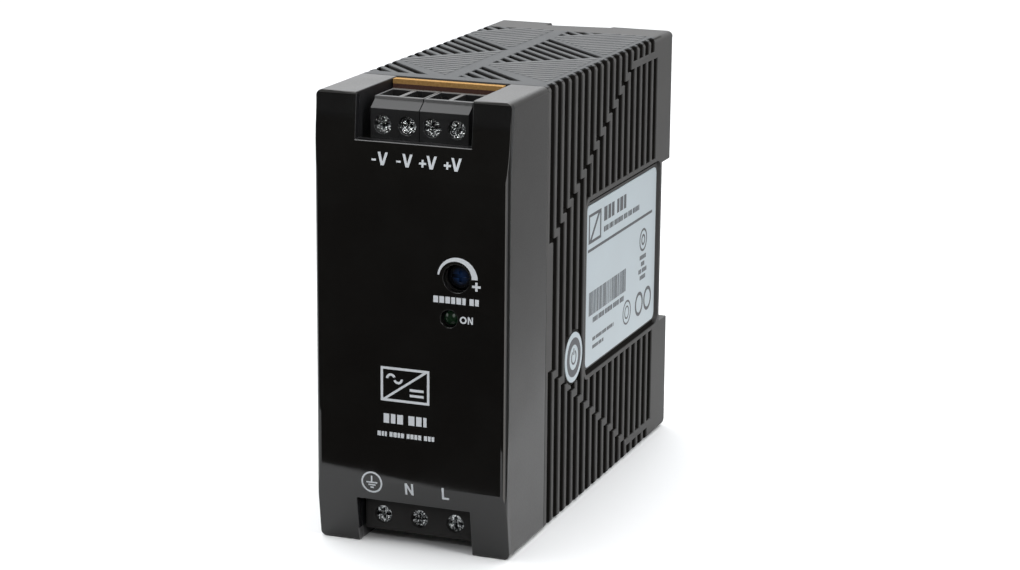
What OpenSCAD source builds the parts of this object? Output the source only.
// DIN rail power supply in a slim plastic case.
// X runs across the width, Y from the front face (-Y) to the rail (+Y), Z up.
// The case stands on its bottom face at Z = 0. Distances called "from the face" are
// measured in Y from the flat of the front face. All sizes are in millimetres.

/* [Case] */
// overall width of the case
case_w = 40; // [40:0.5:42]
// overall height of the case
case_h = 90; // [90:0.5:92]
// overall depth from the front face to the back
case_d = 100; // [100:0.5:104]
// depth of the front cover
cover_d = 21.3; // [20.8:0.1:21.6]
// wall thickness of the ribbed housing
wall = 2.4; // [2.2:0.1:2.6]
// wall thickness of the front cover
cover_wall = 2; // [1.8:0.1:2.2]
// thickness of the front face
face_t = 2.4; // [2:0.1:2.6]
// radius of the long edges of the case
edge_r = 1.2; // [0.8:0.1:1.6]
// how far the top edge of the face leans back
lean_top = 1.7; // [1:0.1:2.2]
// how far the bottom edge of the face leans back
lean_bottom = 2.4; // [1:0.1:2.8]

/* [Side grooves and vents] */
// distance between neighbouring grooves
groove_pitch = 3.88; // [3.8:0.02:3.92]
// width of one side groove
groove_w = 2.7; // [2.2:0.1:2.8]
// depth of a side groove into the wall
groove_deep = 1.2; // [0.8:0.1:1.4]
// number of grooves in each band
groove_count = 17; // [15:1:17]
// first groove of the upper and lower bands, from the face
groove_first = 24.27; // [24.2:0.01:24.4]
// how far the middle band is shifted back against the other two
groove_shift = 2.2; // [1.94:0.02:2.3]
// width of one slanted vent slot in the top and bottom walls
vent_w = 1.65; // [1.2:0.05:1.8]

/* [Terminals] */
// middle of both terminal recesses across the width
recess_x = 0.3; // [0.2:0.1:0.6]
// width of both terminal recesses
recess_w = 23.8; // [23.8:0.1:24.4]
// pole pitch of the output terminals
output_pitch = 5.08; // [5:0.02:5.08]
// pole pitch of the input terminal
input_pitch = 7.62; // [7.5:0.02:7.62]
// diameter of a terminal screw's head
screw_head_d = 3.5; // [3.2:0.1:3.5]
// height of the output screws below the top of the case
output_screw_drop = 6.3; // [6.1:0.1:6.4]
// height of the input screws above the bottom of the case
input_screw_rise = 5.5; // [5.4:0.1:5.6]

/* [Front controls] */
// centre of the voltage trimmer across the width
trimmer_x = 9.6; // [8:0.1:10]
// height of the voltage trimmer
trimmer_z = 55.8; // [54:0.1:58]
// diameter of the trimmer's hole in the face
trimmer_hole_d = 5.5; // [5:0.1:6]
// centre of the lamp across the width
led_x = 8.1; // [6:0.1:9]
// height of the lamp
led_z = 47.8; // [46:0.1:48.5]
// diameter of the lamp's hole in the face
led_hole_d = 3.5; // [3.4:0.1:3.8]

/* [Rail] */
// height of the lower edge of the rail space
rail_low = 25.5; // [25:0.5:26]
// height of the rail space, for a 35 mm rail
rail_gap = 36; // [35.8:0.1:36.2]
// depth of the rail space
rail_deep = 5.4; // [5.2:0.1:5.5]

/* [View] */
// node to show, or all of them

/* [Hidden] */
$fn = 48;
eps = 0.1;
gap = 0.2;
half_w = case_w / 2;
inner_x = half_w - wall;
house_y = cover_d + gap;
// front of the cover's snap lugs, from the face
lug_y = cover_d + 1.5;
seat_y = case_d - rail_deep;
cavity_end = seat_y - 2.6;
rail_top = rail_low + rail_gap;
recess_l = recess_x - recess_w / 2;
recess_r = recess_x + recess_w / 2;
board_y = 18;
board_t = 1.6;
block_end = 14.7;
output_screw_z = case_h - output_screw_drop;
term_front = 3.6;
term_x = 0.45;
main_x = -13.8;
main_t = 1.6;
lead_end = -16.4;
lead_d = 0.8;
lead_hole_d = 1.2;
// screw, clamp and contact places, from the face
head_y = 4.3;
head_t = 1.4;
shank_d = 2.5;
shank_end = 10;
bar_y = 10.05;
bar_t = 0.7;
cage_y = 8.8;
// label field on the right side, as distances from the face and heights
label_y0 = 46.5;
label_y1 = 92.2;
label_z0 = 26.9;
label_z1 = 61.1;
label_deep = 0.8;
rim = 0.8;
sticker_y = 38.4;
sticker_z = 31.6;
sticker_d = 10.4;
// rail latch
latch_x = 7;
latch_y0 = case_d - 4.1;
latch_y1 = case_d - 1.6;
latch_low = 4;
spring_x = 0;
spring_y = case_d - 2.85;
spring_low = 9.7;
spring_high = 17.8;
spring_r = 1.5;
spring_wire = 0.5;

// ---- general shapes ----

// puts a shape drawn with Y = 0 at the face into the part's own frame
module from_face() {
    translate([0, -case_d / 2, 0]) children();
}

// box given by its two opposite corners
module box(a, b) {
    translate(a) cube([b[0] - a[0], b[1] - a[1], b[2] - a[2]]);
}

// rod along Y
module rod_y(x, z, d, y0, y1) {
    translate([x, y1, z]) rotate([90, 0, 0]) cylinder(d = d, h = y1 - y0);
}

// rod along X
module rod_x(y, z, d, x0, x1) {
    translate([x0, y, z]) rotate([0, 90, 0]) cylinder(d = d, h = x1 - x0);
}

// flat profile drawn as (x, z) and pushed from y0 to y1
module push_y(y0, y1) {
    translate([0, y1, 0]) rotate([90, 0, 0]) linear_extrude(height = y1 - y0) children();
}

// flat profile drawn as (y, z) and pushed from x0 to x1
module push_x(x0, x1) {
    translate([x0, 0, 0]) rotate([90, 0, 90]) linear_extrude(height = x1 - x0) children();
}

// flat profile drawn as (x, y) and pushed from z0 to z1
module push_z(z0, z1) {
    translate([0, 0, z0]) linear_extrude(height = z1 - z0) children();
}

// rectangle with round corners, given by two opposite corners
module round_rect(a, b, r) {
    translate([a[0] + r, a[1]]) square([b[0] - a[0] - 2 * r, b[1] - a[1]]);
    translate([a[0], a[1] + r]) square([b[0] - a[0], b[1] - a[1] - 2 * r]);
    for (x = [a[0] + r, b[0] - r]) for (y = [a[1] + r, b[1] - r]) translate([x, y]) circle(r = r);
}

// ---- side grooves ----

// heights of the stepped borders between the three bands at groove k
function upper_step(k) = 59.9 + 2.22 * k;
function lower_step(k) = 30.9 - 2.33 * k;
function groove_y(k) = groove_first + groove_pitch * k;

// where the last stepped border lies; behind it the bands end at level bars
last_step = 11;
bar_top_z = 86.2;
bar_low_z = 3.4;
bar_half = 0.75;
step_half = 0.8;

function upper_end(k) = k > last_step + 1 ? bar_top_z + bar_half : upper_step(k - 1) + step_half;
function middle_high(k) = k > last_step ? bar_top_z - bar_half : upper_step(k) - step_half;
function middle_low(k) = k > last_step ? bar_low_z + bar_half : lower_step(k) + step_half;
function lower_end(k) = k > last_step + 1 ? bar_low_z - bar_half : lower_step(k - 1) - step_half;

// all grooves of one side as a flat (y, z) pattern
module groove_pattern() {
    for (k = [0 : groove_count - 1]) {
        translate([groove_y(k) - groove_w / 2, upper_end(k)])
            square([groove_w, case_h + 1 - upper_end(k)]);
        translate([groove_y(k) + groove_shift - groove_w / 2, middle_low(k)])
            square([groove_w, middle_high(k) - middle_low(k)]);
        translate([groove_y(k) - groove_w / 2, -1])
            square([groove_w, lower_end(k) + 1]);
    }
}

module label_rim() {
    round_rect([label_y0 - 1.4 - rim, label_z0 - 1.4 - rim],
        [label_y1 + 1.3 + rim, label_z1 + 1.3 + rim], 2.6);
}

module label_field() {
    round_rect([label_y0 - 1.4, label_z0 - 1.4], [label_y1 + 1.3, label_z1 + 1.3], 2);
}

module right_grooves() {
    push_x(half_w - groove_deep, half_w + 1) difference() {
        groove_pattern();
        label_rim();
        translate([sticker_y, sticker_z]) circle(d = sticker_d + 1.2);
    }
    push_x(half_w - label_deep, half_w + 1) label_field();
    push_x(half_w - 0.35, half_w + 1) translate([sticker_y, sticker_z]) circle(d = sticker_d + 1.2);
}

module left_grooves() {
    push_x(-half_w - 1, -half_w + groove_deep) groove_pattern();
}

// ---- slanted vents in the top and bottom walls ----

// vent columns: left edge, right edge, and how far forward the column is shifted; the
// slots start at the left edge and run forwards and to the right at 45 degrees
vent_cols = [[-half_w + 0.9, -3.2, 1.1], [-0.4, 18.1, 0]];
vent_y0 = 25.2;
vent_y1 = 89.2;
// start of the longest slot of each group at the column's left edge, from the face
vent_group = [37.4, 76.2, 115];
vent_per_group = 9;

// one column's slots as a flat (x, y) pattern
module vent_column(c) {
    span = c[1] - c[0];
    for (start = vent_group) {
        g = start - c[2];
        intersection() {
            polygon([[c[0], g + 1.2], [c[1], g - span + 1.2], [c[0], g - 33.2]]);
            translate([c[0], vent_y0]) square([span, vent_y1 - vent_y0]);
            union() {
                for (k = [0 : vent_per_group - 1]) {
                    translate([c[0], g - groove_pitch * k]) rotate(-45)
                        translate([-3, -vent_w / 2]) square([36, vent_w]);
                }
            }
        }
    }
}

module vents() {
    for (c = vent_cols) {
        push_z(case_h - wall - 1, case_h + 1) vent_column(c);
        push_z(-1, wall + 1) vent_column(c);
    }
}

// ---- case ----

// long rounded block of the case between two distances from the face
module case_block(y0, y1, inset, r) {
    push_y(y0, y1) round_rect([-half_w + inset, inset], [half_w - inset, case_h - inset], r);
}

// side outline of the back of the case, with its rounded rear corners
module rear_outline() {
    translate([house_y - 1, -1]) square([cavity_end - house_y + 1, case_h + 2]);
    translate([cavity_end - 1, 2]) square([case_d - cavity_end + 1, case_h - 3.5]);
    translate([cavity_end - 1, -1]) square([case_d - cavity_end - 1, case_h + 2.5]);
    translate([case_d - 2, 2]) circle(r = 2);
    translate([case_d - 1.5, case_h - 1.5]) circle(r = 1.5);
}

module rail_space() {
    difference() {
        box([-half_w - 1, seat_y, rail_low], [half_w + 1, case_d + 1, rail_top]);
        // fixed upper hook, behind the rail's upper lip
        box([-11, seat_y + 1.3, rail_top - 2.3], [11, seat_y + 3.2, rail_top + 1]);
    }
}

// guide way of the latch in the lower rear block, open to the back and at both ends
module latch_way() {
    box([-latch_x - gap, latch_y0 - gap, -1], [latch_x + gap, case_d + 1, rail_low + 1]);
    box([-latch_x - 1.8, latch_y0 - gap, -1], [latch_x + 1.8, latch_y0 + 1.5, rail_low + 1]);
    // room for the spring in the floor of the way
    box([-2.2, latch_y0 - 0.9, spring_low - 1.7], [2.2, latch_y0, spring_high + 0.6]);
}

// rails that hold the edges of the main board
module board_guides() {
    for (x = [main_x - main_t - 1.2, main_x + gap]) {
        box([x, 26, wall - eps], [x + 1, cavity_end + eps, 6.4]);
        box([x, 26, case_h - 6.4], [x + 1, cavity_end + eps, case_h - wall + eps]);
    }
}

module housing() {
    color([0.25, 0.26, 0.28]) from_face() {
        difference() {
            intersection() {
                case_block(house_y, case_d, 0, edge_r);
                push_x(-half_w - 1, half_w + 1) rear_outline();
            }
            box([-inner_x, house_y - 1, wall], [inner_x, cavity_end, case_h - wall]);
            right_grooves();
            left_grooves();
            vents();
            rail_space();
            latch_way();
            // recess in the top of the rear edge
            push_z(case_h - 14, case_h + 1)
                polygon([[-7.9, case_d + 1], [-7.9, case_d - 4.4], [4, case_d - 2.8],
                    [6.4, case_d - 2.4], [7.6, case_d + 1]]);
            // pockets for the cover's snap lugs
            for (s = [-1, 1]) for (z = [20, case_h - 20]) {
                box([s > 0 ? inner_x - 1 : -inner_x - 0.6, lug_y - 0.2, z - 4],
                    [s > 0 ? inner_x + 0.6 : -inner_x + 1, lug_y + 1.6, z + 4]);
            }
        }
        board_guides();
        // fixed lug that carries the lower end of the latch spring
        box([-2.4, latch_y0 - 1.2, spring_low - 1.7], [2.4, latch_y1 - 0.2, spring_low - gap]);
    }
}

// side outline of the front cover: upright in the middle, leaning back at both ends
module cover_outline(y1) {
    polygon([[lean_bottom, -1], [0, 13.5], [0, case_h - 16], [lean_top, case_h + 1],
        [y1, case_h + 1], [y1, -1]]);
}

// plan outline of the front cover with its two rounded front edges
module cover_plan() {
    round_rect([-half_w, 0], [half_w, cover_d + 6], edge_r);
}

module front_cover() {
    tongue_x = inner_x - gap;
    color([0.1, 0.1, 0.11]) from_face() difference() {
        union() {
            difference() {
                intersection() {
                    case_block(0, cover_d, 0, edge_r);
                    push_x(-half_w - 1, half_w + 1) cover_outline(cover_d);
                    push_z(-1, case_h + 1) cover_plan();
                }
                // hollow behind the face
                box([-half_w + cover_wall, face_t + 2.2, cover_wall],
                    [half_w - cover_wall, cover_d - cover_wall, case_h - cover_wall]);
                box([-half_w + cover_wall, face_t, 14.5],
                    [half_w - cover_wall, face_t + 3, case_h - 15]);
                box([-tongue_x + 1.2, cover_d - cover_wall - 1, wall + gap + 1.2],
                    [tongue_x - 1.2, cover_d + 1, case_h - wall - gap - 1.2]);
            }
            // tongue that slides into the housing
            difference() {
                box([-tongue_x, cover_d - 1, wall + gap], [tongue_x, cover_d + 3.4, case_h - wall - gap]);
                box([-tongue_x + 1.2, cover_d - 2, wall + gap + 1.2],
                    [tongue_x - 1.2, cover_d + 5, case_h - wall - gap - 1.2]);
            }
            // snap lugs on the tongue
            for (s = [-1, 1]) for (z = [20, case_h - 20]) {
                box([s * tongue_x - 0.5, lug_y, z - 3.8], [s * tongue_x + 0.5, lug_y + 1.4, z + 3.8]);
            }
            // walls on both sides of the two terminal recesses
            for (z = [[1, 11], [case_h - 11, case_h - 1]]) {
                box([recess_l - 1.2, face_t, z[0]], [recess_l + 1, board_y - 0.3, z[1]]);
                box([recess_r - 1, face_t, z[0]], [recess_r + 1.2, board_y - 0.3, z[1]]);
            }
        }
        // recess for the output terminals, open to the front and the top
        box([recess_l, -1, case_h - 9], [recess_r, cover_d + 6, case_h + 1]);
        // recess for the input terminal, open to the front and the bottom
        box([recess_l, -1, -1], [recess_r, cover_d + 6, 9.3]);
        // room for the terminal blocks behind the face
        box([recess_l, 3.3, case_h - 12], [recess_r, board_y, case_h - 8]);
        box([recess_l, 3.3, 8], [recess_r, board_y, 12]);
        rod_y(trimmer_x, trimmer_z, trimmer_hole_d, -1, face_t + 2);
        rod_y(led_x, led_z, led_hole_d, -1, face_t + 2);
    }
}

// ---- boards ----

// across-the-width places of the poles
function output_x(k) = term_x + (k - 1.5) * output_pitch;
function input_x(k) = term_x + (k - 1) * input_pitch;
// heights of the contact pins
output_pin_z = output_screw_z - 2.4;
input_pin_z = input_screw_rise + 2.4;

// lead places of the parts on the main board, as distances from the face and heights
transformer_leads = [for (z = [38.3, 53.7]) for (y = [49, 53, 59, 63]) [y, z]];
input_cap_leads = [[80, 16.2], [80, 23.8]];
output_cap_y = [34, 46, 58];
output_cap_leads = [for (y = output_cap_y) for (s = [-2.5, 2.5]) [y + s, 74]];
choke_leads = [for (y = [28.2, 39.8]) for (z = [13.5, 20.5]) [y, z]];
film_leads = [[50, 12], [64, 12]];
fuse_leads = [[25, 30], [47, 30]];
bridge_leads = [for (k = [0 : 3]) [74 + 4.6 * k, 35.75]];
transistor_leads = [for (k = [-1 : 1]) [80 + 2.54 * k, 41.5]];
rectifier_leads = [for (k = [-1 : 1]) [80 + 2.54 * k, 67]];
inductor_leads = [[78, 74], [78, 80]];
safety_leads = [for (z = [46, 57]) for (s = [-2.5, 2.5]) [27, z + s]];
thermistor_leads = [[68, 21], [68, 27]];
opto_leads = [for (y = [32, 34.54]) for (z = [56.5, 64.1]) [y, z]];
main_leads = concat(transformer_leads, input_cap_leads, output_cap_leads, choke_leads, film_leads,
    fuse_leads, bridge_leads, transistor_leads, rectifier_leads, inductor_leads, safety_leads,
    thermistor_leads, opto_leads);
link_z = [for (k = [0 : 7]) 22 + 2.54 * k];
link_y = board_y + board_t + 2.1;
link_x = -11.5;

module leads(list, top) {
    for (p = list) rod_x(p[0], p[1], lead_d, lead_end, top);
}

module front_board() {
    color([0.72, 0.55, 0.25]) from_face() difference() {
        push_y(board_y, board_y + board_t) {
            translate([-15.9, 4.2]) square([31.8, case_h - 8.4]);
            translate([recess_l + 0.4, 0.7]) square([recess_w - 0.8, case_h - 0.7]);
        }
        for (k = [0 : 3]) rod_y(output_x(k), output_pin_z, 1.5, board_y - 1, board_y + 3);
        for (k = [0 : 2]) rod_y(input_x(k), input_pin_z, 1.5, board_y - 1, board_y + 3);
        for (x = [-2.5, 0, 2.5]) rod_y(trimmer_x + x, trimmer_z, 1, board_y - 1, board_y + 3);
        for (x = [-1.27, 1.27]) rod_y(led_x + x, led_z, 1, board_y - 1, board_y + 3);
        for (z = link_z) rod_y(link_x, z, 1, board_y - 1, board_y + 3);
    }
}

module main_board() {
    color([0.62, 0.5, 0.28]) from_face() difference() {
        box([main_x - main_t, board_y + board_t + 0.6, 5], [main_x, 90, case_h - 5]);
        // the cover's tongue passes the front corners
        box([main_x - 3, 17, 4], [main_x + 1, 26, 6]);
        box([main_x - 3, 17, case_h - 6], [main_x + 1, 26, case_h - 4]);
        for (p = main_leads) rod_x(p[0], p[1], lead_hole_d, main_x - 3, main_x + 1);
        for (z = link_z) rod_x(link_y, z, 1, main_x - 3, main_x + 1);
    }
}

module board_link_pins() {
    color([0.8, 0.7, 0.4]) from_face() for (z = link_z) {
        rod_y(link_x, z, 0.64, board_y - 0.8, link_y + 0.32);
        rod_x(link_y, z, 0.64, lead_end + 0.4, link_x + 0.32);
    }
}

module insulation_sheet() {
    color([0.85, 0.85, 0.8]) from_face()
        box([-inner_x + 0.2, 27, 6.8], [-inner_x + 0.6, 90, case_h - 6.8]);
}

// ---- terminals ----

// terminal block drawn with its wire side up and its screws at z = 0;
// edge: [depth, height] points from the front face's upper edge to the wire side
module terminal_block(poles, pitch, inner_end, entry_end, edge) {
    w = poles * pitch - 0.12;
    difference() {
        push_x(-w / 2, w / 2) polygon(concat([[term_front, -inner_end], [term_front, 3.1]],
            [for (p = edge) [term_front + p[0], p[1]]], [[block_end, entry_end], [block_end, 0.6],
            [board_y - gap, 0.6], [board_y - gap, -inner_end]]));
        for (k = [0 : poles - 1]) {
            x = (k - (poles - 1) / 2) * pitch;
            // chamber of the clamp, open on the wire side
            box([x - 2.05, 6.7, -2.8], [x + 2.05, 13.4, entry_end + 1]);
            // seat of the screw head and hole of its shank
            rod_y(x, 0, screw_head_d + 0.16, term_front - 1, head_y + head_t + 0.1);
            rod_y(x, 0, shank_d + 0.16, term_front, 7);
            // hole of the contact pin
            rod_y(x, -2.4, 1.4, 13, board_y + 1);
        }
    }
}

module output_block() {
    entry_end = output_screw_drop - 1.2;
    color([0.16, 0.17, 0.18]) translate([0, 0, output_screw_z])
        terminal_block(2, output_pitch, 4.1, entry_end, [[1.9, 4.4], [2.1, entry_end]]);
}

module output_terminal_left() {
    from_face() translate([term_x - output_pitch, 0, 0]) output_block();
}

module output_terminal_right() {
    from_face() translate([term_x + output_pitch, 0, 0]) output_block();
}

module input_terminal() {
    entry_end = input_screw_rise - 0.5;
    color([0.16, 0.17, 0.18]) from_face() translate([term_x, 0, input_screw_rise])
        mirror([0, 0, 1]) terminal_block(3, input_pitch, 5.4, entry_end, [[6.6, entry_end]]);
}

// screw on the Y axis with a slotted cross head
module terminal_screw() {
    color([0.75, 0.76, 0.78]) {
        difference() {
            rod_y(0, 0, screw_head_d, head_y, head_y + head_t);
            box([-screw_head_d, head_y - 1, -0.3], [screw_head_d, head_y + 0.7, 0.3]);
            box([-0.3, head_y - 1, -1.15], [0.3, head_y + 0.8, 1.15]);
        }
        rod_y(0, 0, shank_d, head_y + head_t - 0.2, shank_end);
    }
}

// rising clamp: a square loop around the contact bar, threaded on the screw
module clamp_cage() {
    color([0.7, 0.68, 0.6]) difference() {
        push_z(-1.7, 2.3) difference() {
            translate([-1.95, cage_y]) square([3.9, 4.5]);
            translate([-1.4, cage_y + 0.8]) square([2.8, 3.1]);
        }
        rod_y(0, 0, shank_d + 0.1, cage_y - 1, cage_y + 1.5);
    }
}

// contact: a bar through the clamp, a foot and a pin to the board
module contact() {
    color([0.8, 0.66, 0.35]) {
        box([-1.2, bar_y, -2.7], [1.2, bar_y + bar_t, 3.6]);
        box([-1.2, bar_y, -2.7], [1.2, 13.3, -2.1]);
        box([-0.5, 13.2, -2.7], [0.5, board_y + board_t + 1.4, -2.1]);
    }
}

module at_output(k) {
    from_face() translate([output_x(k), 0, output_screw_z]) children();
}

module at_input(k) {
    from_face() translate([input_x(k), 0, input_screw_rise]) mirror([0, 0, 1]) children();
}

module output_screw_1() { at_output(0) terminal_screw(); }
module output_screw_2() { at_output(1) terminal_screw(); }
module output_screw_3() { at_output(2) terminal_screw(); }
module output_screw_4() { at_output(3) terminal_screw(); }
module input_screw_1() { at_input(0) terminal_screw(); }
module input_screw_2() { at_input(1) terminal_screw(); }
module input_screw_3() { at_input(2) terminal_screw(); }
module output_clamp_1() { at_output(0) clamp_cage(); }
module output_clamp_2() { at_output(1) clamp_cage(); }
module output_clamp_3() { at_output(2) clamp_cage(); }
module output_clamp_4() { at_output(3) clamp_cage(); }
module input_clamp_1() { at_input(0) clamp_cage(); }
module input_clamp_2() { at_input(1) clamp_cage(); }
module input_clamp_3() { at_input(2) clamp_cage(); }

module output_contacts() {
    for (k = [0 : 3]) at_output(k) contact();
}

module input_contacts() {
    for (k = [0 : 2]) at_input(k) contact();
}

// ---- front controls ----

module trimmer_body() {
    color([0.12, 0.3, 0.62]) from_face() translate([trimmer_x, 0, trimmer_z]) difference() {
        union() {
            box([-3.5, 4, -3.5], [3.5, board_y - gap, 3.5]);
            for (x = [-2.5, 0, 2.5]) rod_y(x, 0, 0.7, board_y - 1, board_y + 3);
        }
        rod_y(0, 0, 3.1, 3, 7.2);
    }
}

module trimmer_rotor() {
    color([0.2, 0.42, 0.75]) from_face() translate([trimmer_x, 0, trimmer_z]) difference() {
        union() {
            rod_y(0, 0, 4.6, 2.2, 3.8);
            rod_y(0, 0, 3, 3.7, 7);
        }
        box([-1.9, 1, -0.35], [1.9, 3, 0.35]);
        box([-0.35, 1, -1.2], [0.35, 3, 1.2]);
    }
}

module led() {
    color([0.1, 0.3, 0.15]) from_face() translate([led_x, 0, led_z]) {
        intersection() {
            rod_y(0, 0, 3.1, 0, 7);
            translate([0, 3.2, 0]) sphere(d = 4.8);
        }
        rod_y(0, 0, 3.1, 3.2, 7);
        rod_y(0, 0, 3.9, 6, 7);
        for (x = [-1.27, 1.27]) rod_y(x, 0, 0.6, 6.5, board_y + 3);
    }
}

// ---- labels ----

module rating_label() {
    color([0.78, 0.8, 0.82]) from_face()
        push_x(half_w - label_deep + 0.05, half_w - label_deep + 0.3)
            round_rect([label_y0, label_z0], [label_y1, label_z1], 1.5);
}

module round_sticker() {
    color([0.85, 0.86, 0.87]) from_face() rod_x(sticker_y, sticker_z, sticker_d, half_w - 0.3, half_w - 0.1);
}

// ---- rail latch ----

module rail_latch() {
    color([0.2, 0.2, 0.22]) from_face() difference() {
        union() {
            box([-latch_x, latch_y0, latch_low], [latch_x, latch_y1, rail_low + 0.4]);
            // guide flanges
            box([-latch_x - 1.6, latch_y0, latch_low], [latch_x + 1.6, latch_y0 + 1.3, rail_low - 1]);
            // nose behind the rail's lower lip, with its run-in slope at the back
            push_x(-latch_x, latch_x) polygon([[latch_y0, rail_low - 1], [latch_y0, rail_low + 2.9],
                [latch_y0 + 0.6, rail_low + 2.9], [latch_y1, rail_low + 0.6], [latch_y1, rail_low - 1]]);
        }
        // window for the spring and its lug
        box([-2.7, latch_y0 - 1, spring_low - 2], [2.7, case_d, spring_high + 0.1]);
        // slot for a screwdriver
        box([-2.6, latch_y0 - 1, 5.1], [2.6, case_d, 6.5]);
    }
}

// one ring of the latch spring, and the flat end rings
module spring_ring(z) {
    translate([spring_x, spring_y, z]) rotate_extrude() translate([spring_r, 0]) circle(d = spring_wire);
}

module latch_spring() {
    turns = 7;
    first = spring_low + spring_wire / 2;
    rise = (spring_high - spring_low - spring_wire) / turns;
    color([0.75, 0.76, 0.78]) from_face() {
        for (k = [0 : turns]) spring_ring(first + rise * k);
        // the rings are tied by short posts on alternating sides, standing in for the coil's rise
        for (k = [0 : turns - 1]) {
            translate([spring_x + (k % 2 == 0 ? spring_r : -spring_r), spring_y, first + rise * k])
                cylinder(d = spring_wire * 0.8, h = rise);
        }
    }
}

// ---- parts on the main board ----

module transformer_core() {
    color([0.2, 0.2, 0.2]) from_face() difference() {
        box([-5.5, 43, 33], [1.5, 69, 59]);
        box([-6, 46.5, 37], [2, 52.5, 55]);
        box([-6, 59.5, 37], [2, 65.5, 55]);
    }
}

module transformer_bobbin() {
    color([0.12, 0.12, 0.12]) from_face() {
        difference() {
            union() {
                box([-6.4, 51.6, 37.2], [2.4, 60.4, 54.8]);
                for (z = [37.2, 53.8]) box([-10.6, 46.7, z], [6.6, 65.3, z + 1]);
            }
            box([-5.6, 52.4, 36], [1.6, 59.6, 56]);
        }
        box([-13.6, 47, 37.2], [-10.5, 65, 39.4]);
        box([-13.6, 47, 52.6], [-10.5, 65, 54.8]);
        leads(transformer_leads, -13);
    }
}

module transformer_winding() {
    color([0.85, 0.75, 0.2]) from_face() difference() {
        box([-10, 47.2, 38.3], [6, 64.8, 53.7]);
        box([-6.5, 51.5, 38], [2.5, 60.5, 54]);
        // notches that clear the bobbin's feet
        box([-10.8, 47, 38], [-9.9, 65, 39.6]);
        box([-10.8, 47, 52.4], [-9.9, 65, 54]);
    }
}

module can(y, z, d, h) {
    difference() {
        rod_x(y, z, d, main_x + gap, main_x + gap + h);
        translate([main_x + 2, y, z]) rotate([0, 90, 0]) rotate_extrude()
            translate([d / 2 + 0.35, 0]) circle(d = 1.6);
    }
}

module input_capacitor() {
    color([0.15, 0.17, 0.22]) from_face() {
        can(80, 20, 18, 28);
        leads(input_cap_leads, main_x + 1);
    }
}

module output_capacitors() {
    color([0.15, 0.17, 0.22]) from_face() {
        for (y = output_cap_y) can(y, 74, 10, 20);
        leads(output_cap_leads, main_x + 1);
    }
}

choke_y = 34;
choke_z = 17;

module line_choke_core() {
    color([0.2, 0.2, 0.2]) from_face() translate([-6.5, choke_y, choke_z]) rotate([0, 90, 0])
        difference() {
            translate([0, 0, -3]) cylinder(d = 17, h = 6);
            translate([0, 0, -4]) cylinder(d = 9, h = 8);
        }
}

module line_choke_windings() {
    color([0.75, 0.45, 0.2]) from_face() {
        for (s = [-1, 1]) translate([-6.5, choke_y, choke_z]) rotate([0, 90, 0]) intersection() {
            difference() {
                translate([0, 0, -4.2]) cylinder(d = 19.4, h = 8.4);
                translate([0, 0, -5]) cylinder(d = 6.6, h = 10);
                difference() {
                    translate([0, 0, -3.1]) cylinder(d = 17.2, h = 6.2);
                    translate([0, 0, -4]) cylinder(d = 8.8, h = 8);
                }
            }
            translate([-7.5, s > 0 ? 2 : -12, -6]) cube([15, 10, 12]);
        }
        leads(choke_leads, -10.5);
    }
}

module line_fuse() {
    color([0.85, 0.86, 0.84]) from_face() {
        rod_y(-9.4, 30, 5.2, 26.5, 45.5);
        rod_y(-9.4, 30, 0.8, 24.6, 47.4);
        leads(fuse_leads, -9);
    }
}

module bridge_rectifier() {
    color([0.1, 0.1, 0.1]) from_face() {
        box([-11, 72, 34], [6, 89.8, 37.5]);
        leads(bridge_leads, -10);
    }
}

sink_screw_x = 9.5;

module primary_heat_sink() {
    color([0.75, 0.76, 0.77]) from_face() difference() {
        box([main_x + gap, 71, 44], [13, 90, 46.5]);
        translate([sink_screw_x, 80, 43]) cylinder(d = 3.1, h = 5);
    }
}

module output_heat_sink() {
    color([0.75, 0.76, 0.77]) from_face() difference() {
        box([main_x + gap, 70.5, 62], [13, 90, 64.5]);
        translate([sink_screw_x, 80, 61]) cylinder(d = 3.1, h = 5);
    }
}

// flat power package with a tab, lying against z = 0 and facing down
module power_package() {
    difference() {
        union() {
            box([-3, 75, -1.3], [12.5, 85, 0]);
            box([-3, 75, -4.4], [6.2, 85, 0]);
        }
        translate([sink_screw_x, 80, -3]) cylinder(d = 3.3, h = 4);
    }
}

module switching_transistor() {
    color([0.13, 0.13, 0.14]) from_face() {
        translate([0, 0, 43.9]) power_package();
        leads(transistor_leads, -2.5);
    }
}

module output_rectifier() {
    color([0.13, 0.13, 0.14]) from_face() {
        translate([0, 0, 64.6]) mirror([0, 0, 1]) power_package();
        leads(rectifier_leads, -2.5);
    }
}

module sink_screw() {
    translate([sink_screw_x, 80, 0]) {
        cylinder(d = 2.9, h = 6.4);
        difference() {
            translate([0, 0, -2]) cylinder(d = 5.4, h = 2.1);
            translate([-0.4, -3, -3]) cube([0.8, 6, 2]);
        }
    }
}

module heat_sink_screws() {
    color([0.7, 0.71, 0.73]) from_face() {
        translate([0, 0, 42.5]) sink_screw();
        translate([0, 0, 66]) mirror([0, 0, 1]) sink_screw();
    }
}

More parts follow.
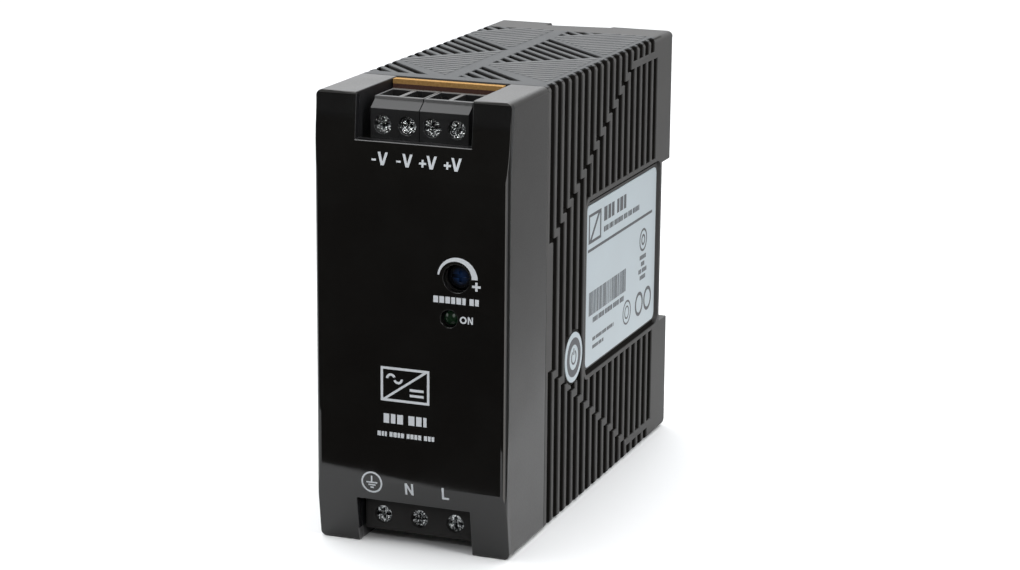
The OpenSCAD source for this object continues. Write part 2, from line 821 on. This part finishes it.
module output_inductor() {
    color([0.3, 0.2, 0.15]) from_face() {
        rod_x(78, 77, 12, main_x + gap, main_x + 2);
        rod_x(78, 77, 9.4, main_x + 1, -2);
        rod_x(78, 77, 12, -2.8, -1);
        leads(inductor_leads, main_x + 1);
    }
}

module film_capacitor() {
    color([0.75, 0.6, 0.15]) from_face() {
        box([main_x + gap, 48, 8], [1, 66, 16]);
        leads(film_leads, main_x + 1);
    }
}

module safety_capacitors() {
    color([0.2, 0.35, 0.6]) from_face() {
        for (z = [46, 57]) translate([-8.4, 28.6, z]) rotate([90, 0, 0]) cylinder(d = 8, h = 3.2);
        leads(safety_leads, -8.4);
    }
}

module inrush_thermistor() {
    color([0.2, 0.4, 0.25]) from_face() {
        translate([-7.4, 70, 24]) rotate([90, 0, 0]) cylinder(d = 11, h = 4);
        leads(thermistor_leads, -8);
    }
}

module optocoupler() {
    color([0.9, 0.9, 0.88]) from_face() {
        box([main_x + 0.6, 30.7, 57.2], [main_x + 4.1, 35.9, 63.4]);
        for (p = opto_leads) {
            foot_z = p[1] > 60 ? 63 : 56.2;
            rod_x(p[0], p[1], 0.6, lead_end, main_x + 2.6);
            box([main_x + 2, p[0] - 0.3, foot_z], [main_x + 2.6, p[0] + 0.3, foot_z + 1.4]);
        }
    }
}

// ---- assembly ----

front_cover();
housing();
front_board();
main_board();
output_terminal_left();
output_terminal_right();
input_terminal();
output_screw_1();
output_screw_2();
output_screw_3();
output_screw_4();
input_screw_1();
input_screw_2();
input_screw_3();
output_clamp_1();
output_clamp_2();
output_clamp_3();
output_clamp_4();
input_clamp_1();
input_clamp_2();
input_clamp_3();
output_contacts();
input_contacts();
trimmer_body();
trimmer_rotor();
led();
rating_label();
round_sticker();
rail_latch();
latch_spring();
transformer_core();
transformer_bobbin();
transformer_winding();
input_capacitor();
output_capacitors();
line_choke_core();
line_choke_windings();
line_fuse();
bridge_rectifier();
primary_heat_sink();
switching_transistor();
output_heat_sink();
output_rectifier();
heat_sink_screws();
output_inductor();
film_capacitor();
safety_capacitors();
inrush_thermistor();
optocoupler();
board_link_pins();
insulation_sheet();
